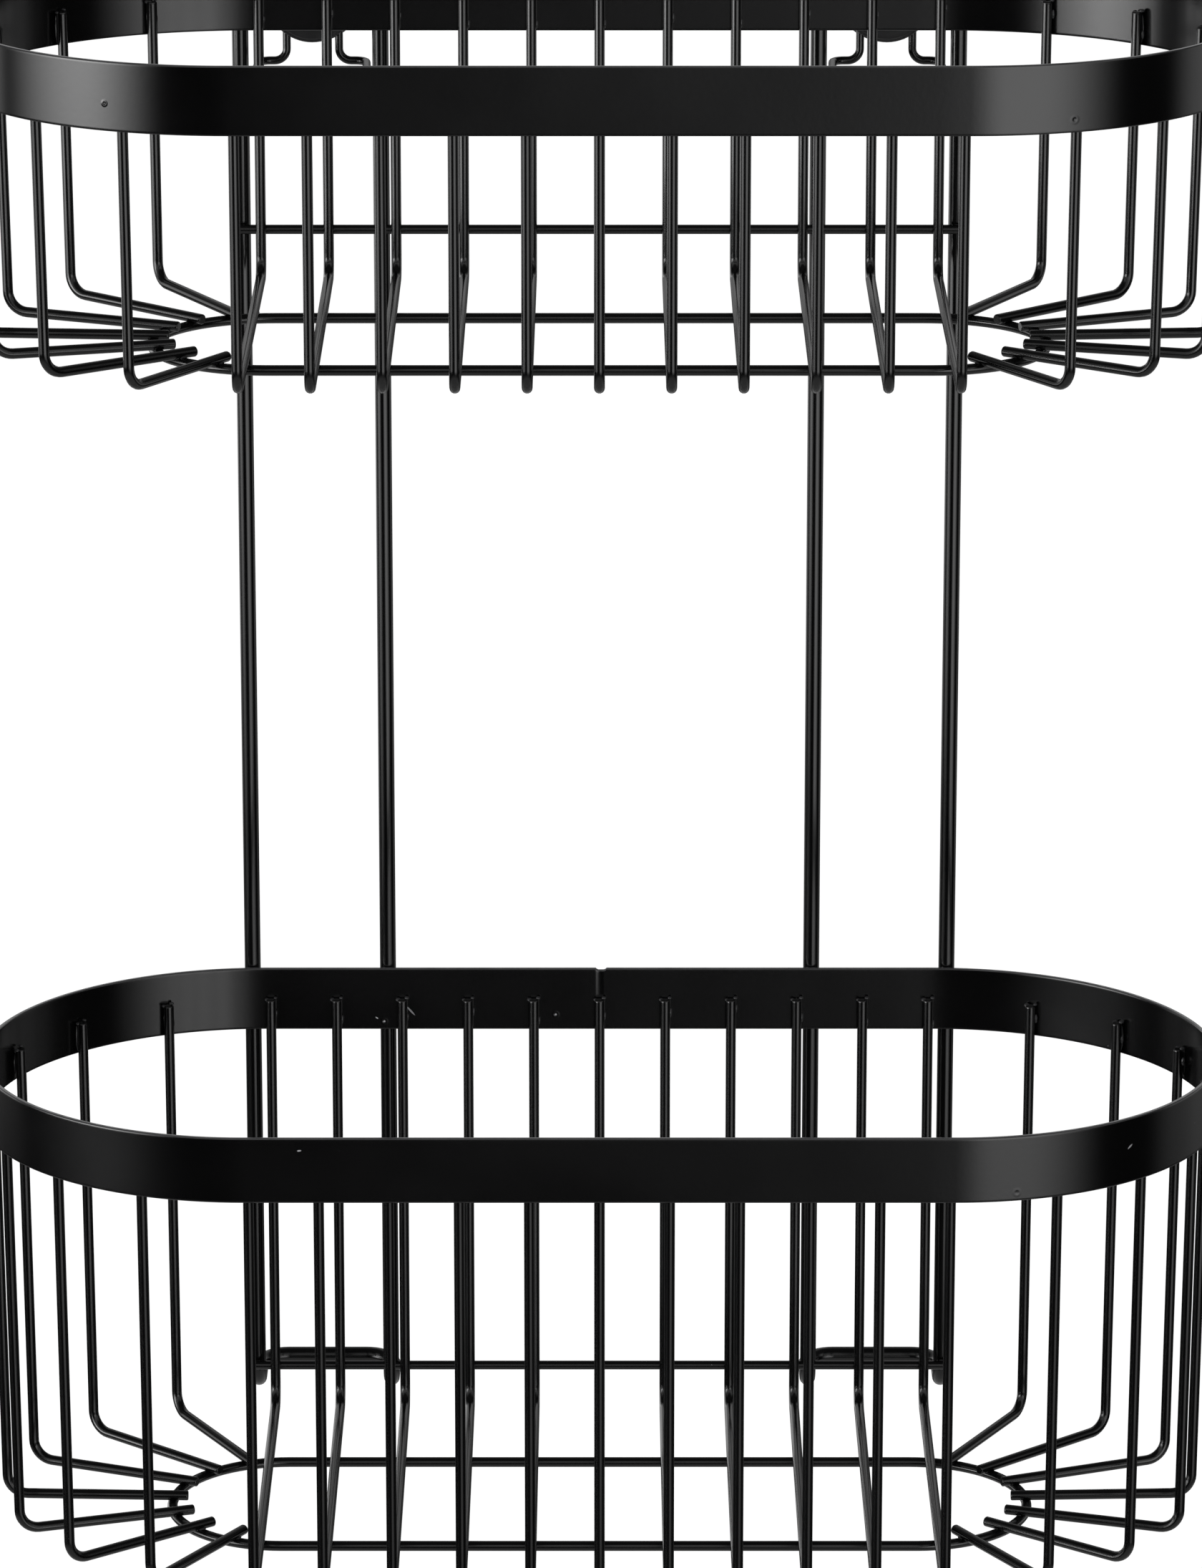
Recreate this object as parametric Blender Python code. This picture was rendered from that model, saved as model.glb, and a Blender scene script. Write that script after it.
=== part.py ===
# Two-tier wire wall shelf: two black steel baskets on a pair of upright loops, hung on two wall buttons.
# Metres, +Z up. The wall is the plane Y = 0, the shelf stands out from it towards -Y,
# and Z = 0 is the height of the buttons' axes, midway between which X is 0.

import math

import bmesh
import bpy
from mathutils import Matrix, Vector

# Flat bar rims: a band with straight sides and half-round ends round the mouth of each basket
RIM_LENGTH = 0.300
RIM_DEPTH = 0.133
RIM_HEIGHT = 0.016
RIM_THICKNESS = 0.0012
WALL_GAP = 0.0258

# Tiers: rim top to rim top, and rim top to the centre of that basket's floor wires
TIER_PITCH = 0.254
UPPER_BASKET_DEPTH = 0.076
LOWER_BASKET_DEPTH = 0.115

# Basket wires: straight ribs across, and wires that fan out round the half-round ends
BASKET_WIRE = 0.0025
BASKET_BEND = 0.005
BASKET_TAPER = 0.0013
RIB_COUNT = 11
RIB_INSET = 0.001
WIRE_TOP_DROP = 0.0077
END_WIRE_COUNT = 7
END_WIRE_OVERHANG = 0.0039

# Floor ring, under the ribs, and how far the end wires are sunk into it by their welds
RING_SETBACK = 0.006
RING_RADIUS = 0.0279
WELD_SINK = 0.0004

# Upright loops, each bent back to the wall at its foot
UPRIGHT_WIRE = 0.0040
UPRIGHT_SPACING = 0.034
UPRIGHT_OVERRUN = 0.0037
UPRIGHT_TOP_DROP = 0.0015
UPRIGHT_BEND = 0.006
STAND_OFF_CORNER = 0.007
STAND_OFF_LIFT = 0.0046

# Cross wires between the uprights and the backs of the baskets
CROSS_WIRE = 0.0023
UPPER_CROSS_WIRE_LIFT = 0.011
LOWER_CROSS_WIRE_LIFT = 0.009

# Wall buttons: base against the wall, neck that the hanger rests on, and head that keeps it there
BUTTON_DROP = 0.0108
BUTTON_BASE = 0.025
BUTTON_BASE_THICKNESS = 0.003
BUTTON_NECK = 0.0102
BUTTON_NECK_LENGTH = 0.0057
BUTTON_HEAD = 0.022
BUTTON_HEAD_THICKNESS = 0.003
BUTTON_EDGE = 0.0007

# Countersunk screws and their snap-in cover caps
SCREW_SHANK = 0.004
SCREW_HEAD = 0.0078
SCREW_LENGTH = 0.030
SCREW_POINT = 0.005
SCREW_SUNK = 0.0016
CAP_DIAMETER = 0.020
CAP_THICKNESS = 0.0018
CAP_EDGE = 0.0007
CAP_SPIGOT_LENGTH = 0.0010

# Hangers: thin wire that arches over a button's neck and runs forward to the uprights
HANGER_WIRE = 0.0020
HANGER_DROP = 0.0110
HANGER_BEND = 0.003
HANGER_WELD_LENGTH = 0.0015

# Clearances: between pieces that touch, round the screw, behind the head and beside it
SEAT = 0.0003
SCREW_CLEARANCE = 0.0003
HANGER_PLAY = 0.00065
HEAD_PASS = 0.0011

# Facets
WIRE_SIDES = 8
UPRIGHT_SIDES = 12
BEND_STEPS = 4
ARCH_STEPS = 10
RIM_END_STEPS = 28
RING_END_STEPS = 16
TURNED_STEPS = 28
DOME_STEPS = 4
CREASE = math.radians(35)

# Places that follow from the sizes
RIM_RADIUS = RIM_DEPTH / 2
RIM_STRAIGHT = RIM_LENGTH / 2 - RIM_RADIUS
RIM_TOP = BUTTON_DROP
BASKET_Y = -(WALL_GAP + RIM_RADIUS)
WIRE_REACH = RIM_RADIUS - RIM_THICKNESS - SEAT - BASKET_WIRE / 2
WIRE_FOOT = WIRE_REACH - BASKET_TAPER
RING_STRAIGHT = RIM_STRAIGHT - RING_SETBACK
RING_DROP = BASKET_WIRE + SEAT
UPRIGHT_Y = -(WALL_GAP - SEAT - UPRIGHT_WIRE / 2)
OUTER_UPRIGHT_X = RIM_STRAIGHT + UPRIGHT_OVERRUN
PAIR_X = OUTER_UPRIGHT_X - UPRIGHT_SPACING / 2
SHELF_BOTTOM = RIM_TOP - TIER_PITCH - LOWER_BASKET_DEPTH - RING_DROP - BASKET_WIRE / 2
STAND_OFF_Z = SHELF_BOTTOM + STAND_OFF_LIFT + UPRIGHT_WIRE / 2
CROSS_WIRE_Y = UPRIGHT_Y - UPRIGHT_WIRE / 2 - SEAT - CROSS_WIRE / 2
BUTTON_LENGTH = BUTTON_BASE_THICKNESS + BUTTON_NECK_LENGTH + BUTTON_HEAD_THICKNESS
HANGER_Y = -(BUTTON_BASE_THICKNESS + BUTTON_NECK_LENGTH - HANGER_PLAY - HANGER_WIRE / 2)
HANGER_Z = RIM_TOP - RIM_HEIGHT - HANGER_DROP


def clear_scene():
    for thing in list(bpy.data.objects):
        bpy.data.objects.remove(thing)


def finish(name, colour, roughness, metallic):
    material = bpy.data.materials.new(name)
    material.use_nodes = True
    surface = material.node_tree.nodes["Principled BSDF"]
    surface.inputs["Base Color"].default_value = (*colour, 1)
    surface.inputs["Roughness"].default_value = roughness
    surface.inputs["Metallic"].default_value = metallic
    return material


def group(name):
    carrier = bpy.data.objects.new(name, None)
    bpy.context.scene.collection.objects.link(carrier)
    return carrier


def place(name, data, carrier, location):
    piece = bpy.data.objects.new(name, data)
    piece.parent = carrier
    piece.location = location
    bpy.context.scene.collection.objects.link(piece)
    return piece


def rounded(corners, radius, inner_radius=None):
    # The route through the corners, with every bend an arc. A bend shrinks where its legs are too short.
    # Where an inner radius is given, all bends but the first and the last have it.
    route = [corners[0]]
    bends = len(corners) - 2
    for number in range(1, bends + 1):
        before, corner, after = corners[number - 1 : number + 2]
        wanted = radius if number in (1, bends) or inner_radius is None else inner_radius
        back = before - corner
        ahead = after - corner
        room = min(back.length, ahead.length) / 2
        back.normalize()
        ahead.normalize()
        half_turn = (math.pi - back.angle(ahead)) / 2
        reach = min(wanted * math.tan(half_turn), room)
        bend = reach / math.tan(half_turn)
        centre = corner + (back + ahead).normalized() * bend / math.cos(half_turn)
        spoke = corner + back * reach - centre
        axis = spoke.cross(corner + ahead * reach - centre)
        for step in range(BEND_STEPS + 1):
            turn = Matrix.Rotation(2 * half_turn * step / BEND_STEPS, 3, axis)
            route.append(centre + turn @ spoke)
    route.append(corners[-1])
    return route


def stadium(half_straight, radius, end_steps):
    # Points round an outline with two straight sides along X and two half-round ends.
    outline = []
    for side in (1, -1):
        for step in range(end_steps + 1):
            angle = math.pi * (step / end_steps - side / 2)
            outline.append((side * half_straight + radius * math.cos(angle), radius * math.sin(angle)))
    return outline


def wire(name, routes, diameter, material, sides=WIRE_SIDES, closed=False):
    # A curve's round bevel has four sides, and two more for each step of its resolution.
    curve = bpy.data.curves.new(name, "CURVE")
    curve.dimensions = "3D"
    curve.fill_mode = "FULL"
    curve.bevel_depth = diameter / 2
    curve.bevel_resolution = (sides - 4) // 2
    curve.use_fill_caps = True
    for route in routes:
        spline = curve.splines.new("POLY")
        spline.points.add(len(route) - 1)
        spline.use_cyclic_u = closed
        spline.use_smooth = True
        for point, spot in zip(spline.points, route):
            point.co = (*spot, 1)
    curve.materials.append(material)
    return curve


def tube_mesh(curve):
    # The curve's surface as a mesh, which a Boolean can use.
    holder = bpy.data.objects.new(curve.name, curve)
    bpy.context.scene.collection.objects.link(holder)
    graph = bpy.context.evaluated_depsgraph_get()
    mesh = bpy.data.meshes.new_from_object(holder.evaluated_get(graph))
    bpy.data.objects.remove(holder)
    return mesh


def mesh_from(name, shape, material):
    bmesh.ops.recalc_face_normals(shape, faces=shape.faces[:])
    mesh = bpy.data.meshes.new(name)
    shape.to_mesh(mesh)
    shape.free()
    mesh.shade_smooth()
    mesh.set_sharp_from_angle(angle=CREASE)
    mesh.materials.append(material)
    return mesh


def turned(name, profile, material):
    # A solid turned about Y. Each point of the profile is (radius, distance out from the wall),
    # and a profile that starts on the axis also ends there.
    shape = bmesh.new()
    corners = [shape.verts.new((radius, -out, 0)) for radius, out in profile]
    ends = list(zip(corners, corners[1:]))
    if profile[0][0] > 0:
        ends.append((corners[-1], corners[0]))
    edges = [shape.edges.new(pair) for pair in ends]
    bmesh.ops.spin(
        shape,
        geom=corners + edges,
        cent=(0, 0, 0),
        axis=(0, 1, 0),
        angle=2 * math.pi,
        steps=TURNED_STEPS,
        use_merge=True,
    )
    bmesh.ops.remove_doubles(shape, verts=shape.verts[:], dist=1e-6)
    return mesh_from(name, shape, material)


def rim(material):
    # The flat bar on edge, closed round the basket's mouth, hanging down from Z = 0.
    shape = bmesh.new()
    edges = []
    for radius in (RIM_RADIUS, RIM_RADIUS - RIM_THICKNESS):
        outline = stadium(RIM_STRAIGHT, radius, RIM_END_STEPS)
        corners = [shape.verts.new((x, y, -RIM_HEIGHT)) for x, y in outline]
        edges += [shape.edges.new(pair) for pair in zip(corners, corners[1:] + corners[:1])]
    edge_face = bmesh.ops.bridge_loops(shape, edges=edges)["faces"]
    raised = bmesh.ops.extrude_face_region(shape, geom=edge_face)["geom"]
    top = [item for item in raised if isinstance(item, bmesh.types.BMVert)]
    bmesh.ops.translate(shape, vec=(0, 0, RIM_HEIGHT), verts=top)
    return mesh_from("rim", shape, material)


def rib(depth, material):
    # One wire across the basket: down the front, along the floor and up the back.
    corners = [
        Vector((0, -WIRE_REACH, -WIRE_TOP_DROP)),
        Vector((0, -WIRE_FOOT, -depth)),
        Vector((0, WIRE_FOOT, -depth)),
        Vector((0, WIRE_REACH, -WIRE_TOP_DROP)),
    ]
    return wire("rib", [rounded(corners, BASKET_BEND)], BASKET_WIRE, material)


def end_wires(depth, material):
    # The wires that fan out round both ends. Each runs down the end wall and in over the floor ring,
    # dipping to it by the little that its weld sinks.
    inner_radius = RING_RADIUS - END_WIRE_OVERHANG
    dip = SEAT + WELD_SINK
    routes = []
    for end in (1, -1):
        rim_centre = Vector((end * RIM_STRAIGHT, 0, 0))
        ring_centre = Vector((end * RING_STRAIGHT, 0, 0))
        for number in range(1, END_WIRE_COUNT + 1):
            angle = math.pi * number / (END_WIRE_COUNT + 1)
            spoke = Vector((end * math.sin(angle), math.cos(angle), 0))
            corners = [
                rim_centre + spoke * WIRE_REACH + Vector((0, 0, -WIRE_TOP_DROP)),
                rim_centre + spoke * WIRE_FOOT + Vector((0, 0, -depth)),
                ring_centre + spoke * inner_radius + Vector((0, 0, -depth - dip)),
            ]
            routes.append(rounded(corners, BASKET_BEND))
    return wire("end_wires", routes, BASKET_WIRE, material)


def floor_ring(depth, material):
    level = -depth - RING_DROP
    route = [(x, y, level) for x, y in stadium(RING_STRAIGHT, RING_RADIUS, RING_END_STEPS)]
    return wire("floor_ring", [route], BASKET_WIRE, material, closed=True)


def floor_frame(tier, depth, carrier, location, material):
    # The ring and the end wires welded on it, as one piece.
    wires = place(f"{tier}_end_wires", tube_mesh(end_wires(depth, material)), carrier, location)
    wires.display_type = "WIRE"
    wires.hide_render = True
    frame = place(f"{tier}_floor_frame", tube_mesh(floor_ring(depth, material)), carrier, location)
    weld = frame.modifiers.new("weld", "BOOLEAN")
    weld.operation = "UNION"
    weld.object = wires


def upright_loop(material):
    # Two uprights in one wire: at the foot it turns back to the wall and across from one to the other.
    half = UPRIGHT_SPACING / 2
    top = RIM_TOP - UPRIGHT_TOP_DROP
    wall_line = -UPRIGHT_WIRE / 2
    corners = [
        Vector((-half, UPRIGHT_Y, top)),
        Vector((-half, UPRIGHT_Y, STAND_OFF_Z)),
        Vector((-half, wall_line, STAND_OFF_Z)),
        Vector((half, wall_line, STAND_OFF_Z)),
        Vector((half, UPRIGHT_Y, STAND_OFF_Z)),
        Vector((half, UPRIGHT_Y, top)),
    ]
    route = rounded(corners, UPRIGHT_BEND, STAND_OFF_CORNER)
    return wire("upright_loop", [route], UPRIGHT_WIRE, material, UPRIGHT_SIDES)


def cross_wire(material):
    # Straight, flush with the outer sides of the outer uprights.
    half = OUTER_UPRIGHT_X + UPRIGHT_WIRE / 2
    return wire("cross_wire", [[(-half, 0, 0), (half, 0, 0)]], CROSS_WIRE, material)


def hanger(material):
    # From beside one upright back to the wall side, in under the button, up and over its neck, and back.
    neck = BUTTON_NECK / 2 + SEAT + HANGER_WIRE / 2
    shoulder = BUTTON_HEAD / 2 + HEAD_PASS + HANGER_WIRE / 2
    weld = UPRIGHT_SPACING / 2 - UPRIGHT_WIRE / 2 - SEAT - HANGER_WIRE / 2
    corners = [
        Vector((weld, UPRIGHT_Y - HANGER_WELD_LENGTH, HANGER_Z)),
        Vector((shoulder, HANGER_Y, HANGER_Z)),
        Vector((neck, HANGER_Y, HANGER_Z)),
        Vector((neck, HANGER_Y, 0)),
    ]
    side = rounded(corners, HANGER_BEND)
    arch = []
    for step in range(1, ARCH_STEPS):
        angle = math.pi * step / ARCH_STEPS
        arch.append(Vector((neck * math.cos(angle), HANGER_Y, neck * math.sin(angle))))
    other_side = [Vector((-spot.x, spot.y, spot.z)) for spot in reversed(side)]
    return wire("hanger", [side + arch + other_side], HANGER_WIRE, material)


def wall_button(material):
    base = BUTTON_BASE / 2
    neck = BUTTON_NECK / 2
    head = BUTTON_HEAD / 2
    hole = SCREW_SHANK / 2 + SCREW_CLEARANCE
    pocket = SCREW_HEAD / 2 + SCREW_CLEARANCE
    pocket_floor = BUTTON_LENGTH - SCREW_SUNK - SCREW_CLEARANCE
    head_back = BUTTON_LENGTH - BUTTON_HEAD_THICKNESS
    profile = [
        (hole, 0),
        (base, 0),
        (base, BUTTON_BASE_THICKNESS - BUTTON_EDGE),
        (base - BUTTON_EDGE, BUTTON_BASE_THICKNESS),
        (neck, BUTTON_BASE_THICKNESS),
        (neck, head_back),
        (head - BUTTON_EDGE, head_back),
        (head, head_back + BUTTON_EDGE),
        (head, BUTTON_LENGTH - BUTTON_EDGE),
        (head - BUTTON_EDGE, BUTTON_LENGTH),
        (pocket, BUTTON_LENGTH),
        (pocket, pocket_floor),
        (hole, pocket_floor - (pocket - hole)),
    ]
    return turned("wall_button", profile, material)


def screw(material):
    # Countersunk at 90 degrees, with its top sunk below the button's face and its point in the wall.
    head = SCREW_HEAD / 2
    shank = SCREW_SHANK / 2
    top = BUTTON_LENGTH - SCREW_SUNK
    profile = [
        (0, top),
        (head, top),
        (head, top - SCREW_CLEARANCE),
        (shank, top - SCREW_CLEARANCE - (head - shank)),
        (shank, top - SCREW_LENGTH + SCREW_POINT),
        (0, top - SCREW_LENGTH),
    ]
    return turned("screw", profile, material)


def cover_cap(material):
    # A shallow domed disc over the button's face, with a spigot in the screw's pocket.
    radius = CAP_DIAMETER / 2
    spigot = SCREW_HEAD / 2 + SCREW_CLEARANCE - SEAT
    back = BUTTON_LENGTH + SEAT
    rise = CAP_THICKNESS - CAP_EDGE
    profile = [
        (0, back - CAP_SPIGOT_LENGTH),
        (spigot, back - CAP_SPIGOT_LENGTH),
        (spigot, back),
        (radius, back),
    ]
    for step in range(DOME_STEPS + 1):
        share = 1 - step / DOME_STEPS
        profile.append((radius * share, back + CAP_EDGE + rise * (1 - share**2)))
    return turned("cover_cap", profile, material)


def build_basket(tier, rim_top, depth, carrier, rim_mesh, coat):
    place(f"{tier}_rim", rim_mesh, carrier, (0, BASKET_Y, rim_top))
    floor_frame(tier, depth, carrier, (0, BASKET_Y, rim_top), coat)
    rib_curve = rib(depth, coat)
    first = -(RIM_STRAIGHT - RIB_INSET)
    pitch = -2 * first / (RIB_COUNT - 1)
    for number in range(RIB_COUNT):
        spot = (first + pitch * number, BASKET_Y, rim_top)
        place(f"{tier}_rib_{number + 1:02d}", rib_curve, carrier, spot)


def build_shelf(coat):
    # Everything here is welded together and lifts off the wall in one piece, straight up along Z.
    shelf = group("shelf")
    lower_top = RIM_TOP - TIER_PITCH
    rim_mesh = rim(coat)
    build_basket("upper", RIM_TOP, UPPER_BASKET_DEPTH, shelf, rim_mesh, coat)
    build_basket("lower", lower_top, LOWER_BASKET_DEPTH, shelf, rim_mesh, coat)
    bar = cross_wire(coat)
    upper_z = RIM_TOP - UPPER_BASKET_DEPTH + UPPER_CROSS_WIRE_LIFT
    lower_z = lower_top - LOWER_BASKET_DEPTH + LOWER_CROSS_WIRE_LIFT
    place("upper_cross_wire", bar, shelf, (0, CROSS_WIRE_Y, upper_z))
    place("lower_cross_wire", bar, shelf, (0, CROSS_WIRE_Y, lower_z))
    loop = upright_loop(coat)
    hanger_curve = hanger(coat)
    for side, x in (("left", -PAIR_X), ("right", PAIR_X)):
        place(f"{side}_upright_loop", loop, shelf, (x, 0, 0))
        place(f"{side}_hanger", hanger_curve, shelf, (x, 0, 0))


def build_wall_fittings(plastic, steel):
    fittings = group("wall_fittings")
    button = wall_button(plastic)
    screw_mesh = screw(steel)
    cap = cover_cap(plastic)
    for side, x in (("left", -PAIR_X), ("right", PAIR_X)):
        place(f"{side}_wall_button", button, fittings, (x, 0, 0))
        place(f"{side}_screw", screw_mesh, fittings, (x, 0, 0))
        place(f"{side}_cover_cap", cap, fittings, (x, 0, 0))


clear_scene()
build_shelf(finish("black_powder_coat", (0.016, 0.016, 0.018), 0.38, 0.0))
build_wall_fittings(
    finish("black_plastic", (0.02, 0.02, 0.022), 0.45, 0.0),
    finish("zinc_steel", (0.62, 0.62, 0.60), 0.32, 1.0),
)
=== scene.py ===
# Two-tier black wire wall shelf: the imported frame, dressed and lit.
import math
import random

import bmesh
import bpy
from mathutils import Matrix, Vector


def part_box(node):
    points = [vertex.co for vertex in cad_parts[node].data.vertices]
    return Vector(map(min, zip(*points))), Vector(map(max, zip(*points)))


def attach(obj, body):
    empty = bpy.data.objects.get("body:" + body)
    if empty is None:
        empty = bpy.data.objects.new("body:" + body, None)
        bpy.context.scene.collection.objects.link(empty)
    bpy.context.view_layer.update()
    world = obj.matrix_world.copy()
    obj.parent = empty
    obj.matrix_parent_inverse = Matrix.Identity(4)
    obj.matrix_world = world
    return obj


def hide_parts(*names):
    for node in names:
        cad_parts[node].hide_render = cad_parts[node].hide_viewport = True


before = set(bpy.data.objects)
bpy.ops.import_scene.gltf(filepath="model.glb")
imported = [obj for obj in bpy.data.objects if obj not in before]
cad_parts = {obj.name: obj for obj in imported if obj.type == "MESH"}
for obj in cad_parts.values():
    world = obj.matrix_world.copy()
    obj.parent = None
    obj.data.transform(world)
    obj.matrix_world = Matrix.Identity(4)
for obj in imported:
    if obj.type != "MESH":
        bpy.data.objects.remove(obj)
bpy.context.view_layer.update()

tiers = ("upper", "lower")
sides = ("left", "right")
sharpAngle = math.radians(38)  # faces that meet at more than this keep a hard edge
longestArm = 0.45  # share of a straight stretch that the bend at one of its ends may take
samePlace = 0.000001  # points nearer to each other than this are one


class Signal:
    # One socket of a node tree. Sums, differences and products of signals add their own Math nodes.
    def __init__(self, tree, socket=None):
        self.tree = tree
        self.socket = socket

    def node(self, kind, settings={}, values={}, output=0):
        made = self.tree.nodes.new(kind)
        for name, setting in settings.items():  # first, because they change the sockets
            setattr(made, name, setting)
        for name, value in values.items():
            if isinstance(value, Signal):
                self.tree.links.new(value.socket, made.inputs[name])
            else:
                made.inputs[name].default_value = value
        return Signal(self.tree, made.outputs[output] if made.outputs else None)

    def twin(self, output):
        # another output of the same node
        return Signal(self.tree, self.socket.node.outputs[output])

    def maths(self, operation, *terms):
        return self.node("ShaderNodeMath", {"operation": operation}, dict(enumerate(terms)))

    def __add__(self, other):
        return self.maths("ADD", self, other)

    def __sub__(self, other):
        return self.maths("SUBTRACT", self, other)

    def __rsub__(self, other):
        return self.maths("SUBTRACT", other, self)

    def __mul__(self, other):
        return self.maths("MULTIPLY", self, other)

    __radd__ = __add__
    __rmul__ = __mul__

    def spread(self, low, high, lowest=0.0, highest=1.0):
        # low to high of this signal becomes lowest to highest, softly, and stays there beyond
        ends = {"From Min": low, "From Max": high, "To Min": lowest, "To Max": highest}
        soft = {"interpolation_type": "SMOOTHSTEP"}
        return self.node("ShaderNodeMapRange", soft, {"Value": self, **ends})

    def blend(self, first, second):
        # first colour where this signal is 0, second where it is 1
        values = {0: self, 6: first, 7: second}  # by number: each kind of value has an A and a B
        return self.node("ShaderNodeMix", {"data_type": "RGBA"}, values, output=2)


def rgba(colour):
    return (*colour, 1.0)


coatLook = {
    "black": (0.0011, 0.0011, 0.0012),
    "faded": (0.0018, 0.0018, 0.0019),
    "weldPaintedGlintBlack": (0.016, 0.016, 0.017),  # painted glint: the welds' coat is painted lighter than the rest, for the light that their burrs and ears catch
    "weldPaintedGlintFaded": (0.028, 0.028, 0.029),
    "patches": (0.045, 4.0, 0.3, 0.7),  # size, detail, and the noise where one begins and is full
    "roughness": (0.15, 0.20),
    "roughnessMix": (0.6, 0.4),  # shares of patches and grain in it
    "peel": (0.0012, 2.0),  # orange peel of the powder coat: size, detail
    "peelDepth": 0.000004,
    "grain": (0.00022, 1.0),
    "grainDepth": 0.0000012,
    "wireRelief": 0.3,  # share of that relief on the wires, where the coat flows smoother
    "dust": (0.085, 0.085, 0.088),
    "dustSpacing": 0.0075,
    "dustSize": 0.00016,
    "dustCore": 0.6,  # share of a speck's radius that covers fully
    "dustShare": (0.35, 0.05),  # share of the cells with a speck, and of those where it is faint
    "dustRoughness": 0.4,
    "pitFloor": 0.2,  # share of a pit's radius that lies at its bottom
    "pitLip": (0.35, 1.9),  # height of the lip over the pit's depth, reach over its radius
    "scratchCore": 0.55,  # share of a scratch that is bare
    "rubbedRoughness": 0.13,  # top edges of the rims, polished by what goes in and out, and painted lighter there as a painted highlight
    # painted highlight: the lighter colour along the rims' top edges stands in for a reflected
    # bright line
    "rubbedPaintedHighlight": (0.045, 0.045, 0.047),
    "rubbedGloss": 0.10,
    "rubbedAndHighlitPatches": (0.006, 3.0),  # size, detail
    "rubbedAndHighlitSpread": (0.25, 0.65, 0.6, 1.0),  # noise from and to, share rubbed and painted lighter from and to
    "bare": (0.32, 0.32, 0.33),  # what a scratch lays open
}

plasticLook = {
    "colours": ((0.010, 0.010, 0.011), (0.017, 0.017, 0.018)),
    "metallic": 0.0,
    "patches": (0.008, 3.0, 0.3, 0.7),
    "roughness": (0.40, 0.52),
    "roughnessMix": (0.5, 0.5),
    "grain": (0.0003, 2.0),  # size, detail
    "grainDepth": 0.000006,
}

zincLook = {
    "colours": ((0.62, 0.63, 0.64), (0.42, 0.43, 0.45)),
    "metallic": 1.0,
    "patches": (0.0018, 4.0, 0.35, 0.65),
    "roughness": (0.24, 0.42),
    "roughnessMix": (0.6, 0.4),
    "grain": (0.00012, 1.0),
    "grainDepth": 0.000004,
}


def startMaterial(name):
    material = bpy.data.materials.new(name)
    material.use_nodes = True
    material.node_tree.nodes.clear()
    return material, Signal(material.node_tree)


def endMaterial(start, surface):
    start.node("ShaderNodeOutputMaterial", {}, {"Surface": surface})


def noise(where, size, detail):
    values = {"Vector": where, "Scale": 1 / size, "Detail": detail}
    return where.node("ShaderNodeTexNoise", {}, values)


def patchesOf(look, where):
    size, detail, begins, full = look["patches"]
    return noise(where, size, detail).spread(begins, full)


def roughnessOf(look, patches, grain):
    low, high = look["roughness"]
    patchShare, grainShare = look["roughnessMix"]
    return low + (high - low) * (patchShare * patches + grainShare * grain)


def bumpFrom(height, distance=1.0):
    values = {"Strength": 1.0, "Distance": distance, "Height": height}
    return height.node("ShaderNodeBump", {}, values)


def dustOn(where):
    # a speck in the middle of some cells
    cells = {"Vector": where, "Scale": 1 / coatLook["dustSpacing"]}
    cell = where.node("ShaderNodeTexVoronoi", {}, cells, "Distance")
    reach = coatLook["dustSize"] / coatLook["dustSpacing"]
    speck = 1 - cell.spread(reach * coatLook["dustCore"], reach)
    chance = where.node("ShaderNodeSeparateColor", {}, {0: cell.twin("Color")})
    share, fade = coatLook["dustShare"]
    return speck * chance.spread(1 - share, 1 - share + fade)


def pitDepth(where, place, radius, depth):
    # hollow in the middle, with a lip round it
    ends = {0: where, 1: place}
    away = where.node("ShaderNodeVectorMath", {"operation": "DISTANCE"}, ends, "Value")
    lip, lipReach = coatLook["pitLip"]
    hollow = depth * away.spread(coatLook["pitFloor"] * radius, radius)
    return hollow - lip * depth * away.spread(radius, lipReach * radius)


def scratchOn(where, place, turn, length, width):
    steps = {"Vector": where, "Location": place, "Rotation": turn, "Scale": (length, length, width)}
    local = where.node("ShaderNodeMapping", {"vector_type": "TEXTURE"}, steps)
    away = where.node("ShaderNodeVectorMath", {"operation": "LENGTH"}, {0: local}, "Value")
    return 1 - away.spread(coatLook["scratchCore"], 1.0)


def coatMaterial(name, pits=(), scratches=(), rubbedWithPaintedHighlight=False, relief=1.0, paints=("black", "faded")):
    material, start = startMaterial(name)
    where = start.node("ShaderNodeTexCoord", output="Object")
    patches = patchesOf(coatLook, where)
    grain = noise(where, *coatLook["grain"])
    peel = noise(where, *coatLook["peel"])
    dust = dustOn(where)
    roughness = roughnessOf(coatLook, patches, grain) + coatLook["dustRoughness"] * dust
    height = relief * coatLook["peelDepth"] * peel + relief * coatLook["grainDepth"] * grain
    for pit in pits:
        height = height + pitDepth(where, *pit)
    colour = patches.blend(*[rgba(coatLook[paint]) for paint in paints])
    colour = dust.blend(colour, rgba(coatLook["dust"]))
    if scratches:
        marks = [scratchOn(where, *scratch) for scratch in scratches]
        colour = sum(marks[1:], marks[0]).blend(colour, rgba(coatLook["bare"]))
    values = {"Normal": bumpFrom(height)}
    if rubbedWithPaintedHighlight:
        edge = start.node("ShaderNodeAttribute", {"attribute_name": "rubAndPaintedHighlight"}, {}, "Fac")
        wornAndHighlit = noise(where, *coatLook["rubbedAndHighlitPatches"]).spread(*coatLook["rubbedAndHighlitSpread"])
        edge = edge * wornAndHighlit
        roughness = roughness + edge * (coatLook["rubbedRoughness"] - coatLook["roughness"][1])
        # along the top edge the colour is painted lighter: a painted highlight
        colour = edge.blend(colour, rgba(coatLook["rubbedPaintedHighlight"]))
        values.update({"Coat Weight": edge, "Coat Roughness": coatLook["rubbedGloss"]})
    values.update({"Base Color": colour, "Roughness": roughness})
    endMaterial(start, start.node("ShaderNodeBsdfPrincipled", {}, values))
    return material


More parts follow.
